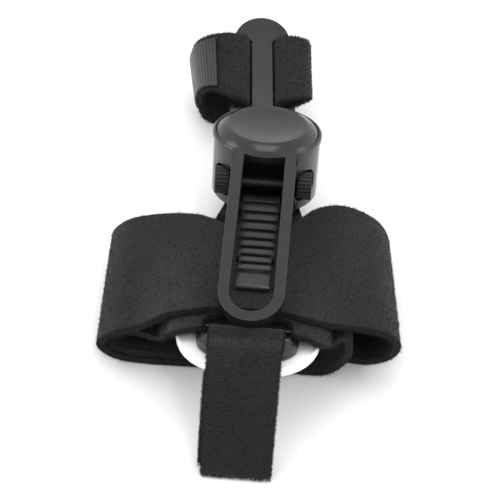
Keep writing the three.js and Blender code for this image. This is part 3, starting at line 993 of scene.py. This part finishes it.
@dataclass
class ArchStrap:
    """The wide strap, rolled twice over the foot plate with a loop at each side."""

    setting: Setting
    finishes: Finishes
    thickness: float = 2.6
    pressed: float = 1.95
    clearance: float = 0.1
    steps: int = 6
    columns: int = 26
    fuzz: Fuzz = Fuzz(fringe=30.0, nap=1.5, reach=1.25)

    # From the end under the right loop, over the plate and round the left loop, then inwards round the
    # pad and over the plate again, in lying coordinates. Between plate and frame it is pressed.
    bends = [
        Bend("outer end", False, (33, -18, 1.3), (33.5, -70.5, 1.3)),
        Bend("right foot", False, (38.5, -19.5, 1.9), (40, -71.5, 2.2)),
        Bend("right low side", False, (43.4, -22, 6.6), (46.4, -74.5, 8.4)),
        Bend("right side", False, (44.6, -23, 13), (48.6, -77, 16.5)),
        Bend("right top", False, (39.8, -23, 21.5), (45, -79, 23.6)),
        Bend("right crown", False, (28, -24, 27.8), (35, -80.5, 27.3)),
        Bend("right shoulder", False, (20, -25, 26.6), (25.2, -83.2, 30.9)),
        Bend("over the right edge", True, (15.4, -26.5, 24), (18, -84.2, 33.8)),
        Bend("plate right", True, (10.8, -29.5, 22.5), (12, -82, 33.1)),
        Bend("plate left", True, (-10.8, -32.1, 22.8), (-12, -82, 33.1)),
        Bend("over the left edge", True, (-17, -28.7, 22), (-18.2, -84.2, 33.8)),
        Bend("left shoulder", False, (-23, -27.3, 21.6), (-25.8, -83.7, 30.4)),
        Bend("left crown", False, (-34, -27, 20.4), (-35.5, -81, 21)),
        Bend("left top", False, (-46, -27, 16.2), (-44.8, -80, 15.4)),
        Bend("left side", False, (-51, -27, 8.8), (-49.2, -79, 9)),
        Bend("left low side", False, (-46, -27, 2.6), (-44.6, -78, 2.8)),
        Bend("bottom left", False, (-33, -26, 1.3), (-32, -78, 1.3)),
        Bend("bottom right", False, (22.5, -24, 1.3), (23, -77.5, 1.3)),
        Bend("inner right foot", False, (27.4, -24, 2.6), (27.4, -78, 3.6)),
        Bend("inner right low side", False, (31.4, -24, 6.6), (31.6, -79.3, 10.5)),
        Bend("inner right side", False, (32.2, -24.5, 11), (32.8, -80.4, 17.5)),
        Bend("inner right crown", False, (29.4, -25.5, 14.4), (30.6, -81, 22.8)),
        Bend("inner right dip", False, (26.2, -30, 13.8), (26.9, -85.5, 23.2)),
        Bend("pad edge right", True, (22.4, -36.4, 18.8), (23.6, -92.2, 30.6)),
        Bend("plate edge right", True, (18.2, -35.9, 21), (18.2, -91.7, 32.8)),
        Bend("right of heel strap", True, (14.8, -35.9, 21), (14.8, -90.7, 32.6)),
        Bend("inner plate right", True, (12, -35.9, 21), (12.6, -83.9, 31.2)),
        Bend("inner plate left", True, (-12.4, -35.9, 21), (-13.1, -83.9, 31.2)),
        Bend("left of heel strap", True, (-15.2, -35.9, 21), (-15.2, -90.3, 32.5)),
        Bend("plate edge left", True, (-18.2, -35.9, 21), (-18.2, -91.2, 32.7)),
        Bend("pad edge left", True, (-22.4, -36.4, 18.8), (-23.6, -91.5, 30.4)),
        Bend("inner left drape", False, (-26, -30, 13.4), (-26.6, -85.4, 22)),
        Bend("inner left dip", False, (-30.5, -26.5, 12.4), (-30, -79, 13.8)),
        Bend("inner left crown", False, (-37.5, -26, 14.2), (-37.6, -77.8, 14.7)),
        Bend("inner left top", False, (-43.8, -26, 12.8), (-42.8, -77.5, 12.6)),
        Bend("inner left side", False, (-47.4, -26, 8.8), (-46.1, -77.5, 8.6)),
        Bend("inner left foot", False, (-44.4, -26, 5.6), (-43.4, -77.5, 5.6)),
        Bend("inner bottom", False, (-34, -26, 4.35), (-33, -77.5, 4.35)),
        Bend("inner end", False, (-16, -26, 4.35), (-15, -77.5, 4.35)),
    ]

    def edge(self, places: Sequence[Place]) -> list[Vector]:
        """Follows one edge of the strap, kept up off the table.

        Args:
            places: The edge's place at each bend.

        Returns:
            The edge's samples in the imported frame.
        """
        line = smooth_line([Vector(place) for place in places], self.steps)
        for point in line:
            point.z = max(point.z, self.thickness / 2)
        return [self.setting.lying @ (point * MM) for point in line]

    def fullness(self) -> list[float]:
        """Finds how full the padding is along the strap.

        Returns:
            For each sample, 0 where the strap is pressed and 1 elsewhere.
        """
        rows = [0.0 if bend.pressed else 1.0 for bend in self.bends]
        samples = []
        for first, second in zip(rows, rows[1:]):
            samples += [first + (second - first) * step / self.steps for step in range(self.steps)]
        return [*samples, rows[-1]]

    def build(self) -> None:
        """Makes and dresses the strap and its fuzz."""
        heel = self.edge([bend.heel for bend in self.bends])
        toe = self.edge([bend.toe for bend in self.bends])
        strap = Strap(
            "arch_strap_cloth", heel, toe, self.thickness - self.clearance, self.columns,
            self.finishes.fabric, thinnest=self.pressed / self.thickness, fullness=self.fullness(),
        )
        piece = strap.build()
        fringe = self.fuzz.grow(strap)
        strap.flat()
        settle(piece, Body.SPLINT, Slot.FABRIC, "arch_strap")
        settle(fringe, Body.SPLINT, Slot.FABRIC)


@dataclass
class HeelStrap:
    """The narrow strap through the slot at the plate's heel end, both plies hanging to the table."""

    setting: Setting
    finishes: Finishes
    thickness: float = 2.2
    clearance: float = 0.1
    slot_half_width: float = 11.9
    end_half_width: float = 10.9
    sideways: float = -0.4
    skew: float = -1.3
    steps: int = 7
    columns: int = 16
    fuzz: Fuzz = Fuzz(fringe=30.0, nap=3.0, reach=1.1)

    # Each row is one bend, y and z in lying coordinates: up the front ply to the slot, then down the
    # back ply.
    bends = [
        (-122.6, 0.8), (-116.5, 16.5), (-109.6, 30.5), (-101.5, 35.7), (-95, 34), (-90.9, 33.8),
        (-88.6, 30.7), (-89.8, 25.8), (-93, 23), (-102, 24.3), (-108.4, 21), (-118.6, 0.8),
    ]

    def edge(self, side: int) -> list[Vector]:
        """Follows one edge of the strap.

        Args:
            side: 1 for the right edge, or -1 for the left one.

        Returns:
            The edge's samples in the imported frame.
        """
        last = len(self.bends) - 1
        points = []
        for row, (y, z) in enumerate(self.bends):
            from_slot = abs(2 * row / last - 1)
            narrower = (self.slot_half_width - self.end_half_width) * from_slot
            drift = self.skew * from_slot if row > last / 2 else 0.0
            x = side * (self.slot_half_width - narrower) + self.sideways + drift
            points.append(Vector((x, y, z)))
        return [self.setting.lying @ (point * MM) for point in smooth_line(points, self.steps)]

    def build(self) -> None:
        """Makes and dresses the strap and its fuzz."""
        strap = Strap(
            "heel_strap_cloth", self.edge(1), self.edge(-1), self.thickness - self.clearance,
            self.columns, self.finishes.fabric,
        )
        piece = strap.build()
        fringe = self.fuzz.grow(strap)
        strap.flat()
        settle(piece, Body.SPLINT, Slot.FABRIC, "heel_strap")
        settle(fringe, Body.SPLINT, Slot.FABRIC)


@dataclass
class ToeStrap:
    """The padded loop through the toe arm's slots, with its shiny hook tab.

    Near and far are how far along the arm the edge next to the drum and the other edge are.
    """

    setting: Setting
    finishes: Finishes
    thickness: float = 2.4
    clearance: float = 0.1
    near: float = 18.6
    far: float = 48.7
    columns: int = 18
    tab_thickness: float = 1.2
    tab_near: float = 20.2
    tab_far: float = 45.6
    tab_columns: int = 16
    tab_wander: float = 0.03
    taper_from: float = -12.0
    left_taper: float = 0.82
    swing: float = math.radians(5.3)
    rise: float = math.radians(30)
    arm_y: float = 20.5
    arm_z: float = 6.0
    steps: int = 6
    fuzz: Fuzz = Fuzz(fringe=26.0, nap=3.5, reach=1.2)

    # Each row is one fold: x across the arm, n above its middle, and how far the near edge is drawn
    # back there.
    folds = [
        (-25.3, -12.7, 8), (-25.6, -5.8, 7.5), (-24, -0.5, 6.5), (-19.6, 3.1, 4.8), (-12, 4.7, 1.2),
        (-6.7, 2.7, 0), (-5.7, -0.6, 0), (-3.6, -3.6, 0), (3.6, -3.6, 0), (5.7, -0.6, 0),
        (6.7, 2.7, 0.5), (12, 4, 1.2), (17.2, 1.4, 3.6), (17.6, -4.2, 6.5), (11.5, -11.5, 7.5),
        (0, -17.6, 6), (-14, -21, 5), (-22.6, -18.6, 6), (-25.6, -13.4, 8),
    ]
    tab_folds = [
        (-26.4, -17.4, 8.4), (-27.5, -11.4, 7.2), (-27.5, -5.6, 6.5), (-25.8, 0.6, 5.5),
        (-22.3, 4.1, 4.6), (-18.2, 5.7, 3.6),
    ]

    def edge(self, folds: Sequence[Place], distance: float, drawn: float) -> list[Vector]:
        """Follows one edge of a band on the arm.

        Args:
            folds: The band's folds.
            distance: The edge's distance along the arm.
            drawn: 1 for the near edge, which is drawn back, or 0.

        Returns:
            The edge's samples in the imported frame.
        """
        along = (distance - self.near) / (self.far - self.near)
        taper = self.left_taper + (1 - self.left_taper) * along
        points = []
        for x, n, back in folds:
            past = min(x - self.taper_from, 0.0)
            points.append(Vector((x - past * (1 - taper), distance + drawn * back, n)))
        foot = Matrix.Translation((0, self.arm_y * MM, self.arm_z * MM))
        arm = Matrix.Rotation(self.swing, 4, "Z") @ foot @ Matrix.Rotation(self.rise, 4, "X")
        to_frame = self.setting.splint @ arm
        return [to_frame @ (point * MM) for point in smooth_line(points, self.steps)]

    def build(self) -> None:
        """Makes and dresses the loop, its fuzz and its tab."""
        near = self.edge(self.folds, self.near, 1)
        far = self.edge(self.folds, self.far, 0)
        loop = Strap(
            "toe_strap_cloth", near, far, self.thickness - self.clearance, self.columns,
            self.finishes.ribbed,
        )
        piece = loop.build()
        fringe = self.fuzz.grow(loop)
        loop.flat()
        settle(piece, Body.TOE, Slot.FABRIC, "toe_strap")
        settle(fringe, Body.TOE, Slot.FABRIC)
        near = self.edge(self.tab_folds, self.tab_near, 1)
        far = self.edge(self.tab_folds, self.tab_far, 0)
        tab = Strap(
            "toe_strap_hook_tab", near, far, self.tab_thickness, self.tab_columns,
            self.finishes.hook, wander=self.tab_wander,
        )
        piece = tab.build()
        tab.flat()
        settle(piece, Body.TOE, Slot.HOOK_TAPE, "toe_strap_tab")


class Panel(NamedTuple):
    """A soft square light: its place and size in metres, and its power in watts."""

    name: str
    place: Place
    size: float
    power: float


@dataclass
class Studio:
    """The pale floor, the soft light and the camera.

    The camera is set so that the middle of the drum's rim falls on one pixel of the picture.
    """

    setting: Setting
    floor_half: float = 6.0
    room_glow: Range = (0.93, 1.02)
    side_glow: float = 0.7
    lit_height: float = 0.02
    elevation: float = math.radians(44)
    azimuth: float = math.radians(2)
    roll: float = math.radians(3)
    distance: float = 560.0
    px_per_mm: float = 2.8
    rim_height: float = 24.0
    rim_px: Range = (267.5, 132.0)
    frame_px: float = 500.0
    sensor: float = 36.0

    panels = [
        Panel("over", (0.0, 0.05, 0.9), 0.45, 1.6),
        Panel("left", (-0.7, 0.1, 0.5), 0.3, 0.8),
        Panel("right", (0.75, 0.1, 0.45), 0.3, 0.5),
        Panel("left_spark", (-0.4, -0.45, 0.68), 0.05, 0.3),
        Panel("right_spark", (0.22, -0.5, 0.72), 0.05, 0.6),
    ]

    def build(self) -> None:
        """Makes the floor, the room, the lights and the camera."""
        self.floor()
        self.room()
        self.lights()
        self.camera()

    def floor(self) -> None:
        """Lays a plain pale floor under the splint."""
        bm = bmesh.new()
        bmesh.ops.create_grid(bm, x_segments=1, y_segments=1, size=self.floor_half)
        shader = Shader("pale_floor")
        shader.fix(Base_Color=(0.96, 0.96, 0.96, 1.0), Roughness=0.9)
        new_piece("floor", bm, shader.material)

    def room(self) -> None:
        """Makes a bright room, a little brighter towards the toe and at both sides."""
        world = bpy.data.worlds.new("bright_room")
        world.use_nodes = True
        room = Nodes(world.node_tree)
        way = room.node("ShaderNodeSeparateXYZ")
        room.link(room.coordinates("Generated"), way.inputs["Vector"])
        glow = room.scaled(way.outputs["Y"], (-1.0, 1.0), self.room_glow)
        beside = room.node("ShaderNodeMath", operation="MULTIPLY")
        room.link(way.outputs["X"], beside.inputs[0])
        room.link(way.outputs["X"], beside.inputs[1])
        strength = room.add_share(glow, beside.outputs["Value"], self.side_glow)
        background = world.node_tree.nodes["Background"]
        background.inputs["Color"].default_value = (1.0, 1.0, 1.0, 1.0)
        room.link(strength, background.inputs["Strength"])
        bpy.context.scene.world = world
        bpy.context.scene.view_settings.view_transform = "Standard"

    def lights(self) -> None:
        """Hangs the panels and turns them to the splint."""
        target = Vector((0, 0, self.lit_height))
        for panel in self.panels:
            light = bpy.data.lights.new(f"{panel.name}_panel", "AREA")
            light.size = panel.size
            light.energy = panel.power
            hung = bpy.data.objects.new(f"{panel.name}_panel", light)
            hung.location = panel.place
            hung.rotation_euler = (target - Vector(panel.place)).to_track_quat("-Z", "Y").to_euler()
            bpy.context.scene.collection.objects.link(hung)

    def camera(self) -> None:
        """Stands the camera where the drum's rim falls on its pixel."""
        back = Vector((
            math.sin(self.azimuth) * math.cos(self.elevation),
            -math.cos(self.azimuth) * math.cos(self.elevation),
            math.sin(self.elevation),
        ))
        level = Vector((math.cos(self.azimuth), math.sin(self.azimuth), 0.0))
        upright = back.cross(level)
        right = level * math.cos(self.roll) + upright * math.sin(self.roll)
        up = upright * math.cos(self.roll) - level * math.sin(self.roll)
        rim = self.setting.splint @ Vector((0, 0, self.rim_height * MM))
        across, down = ((place - self.frame_px / 2) / self.px_per_mm for place in self.rim_px)
        stand = rim + (back * self.distance - right * across + up * down) * MM
        data = bpy.data.cameras.new("photo_camera")
        data.sensor_width = self.sensor
        data.lens = self.px_per_mm * self.distance / self.frame_px * self.sensor
        data.clip_start = 0.01
        camera = bpy.data.objects.new("photo_camera", data)
        turn = Matrix((right, up, back)).transposed().to_4x4()
        camera.matrix_world = Matrix.Translation(stand) @ turn
        bpy.context.scene.collection.objects.link(camera)
        bpy.context.scene.camera = camera


def main() -> None:
    """Loads the frame and builds every piece in order."""
    logging.basicConfig(level=logging.INFO)
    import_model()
    setting = Setting.from_frame()
    finishes = Finishes.make()
    Studio(setting).build()
    HardPieces(finishes).build()
    FootPad(finishes).build()
    ArchStrap(setting, finishes).build()
    HeelStrap(setting, finishes).build()
    ToeStrap(setting, finishes).build()


if __name__ == "__main__":
    main()
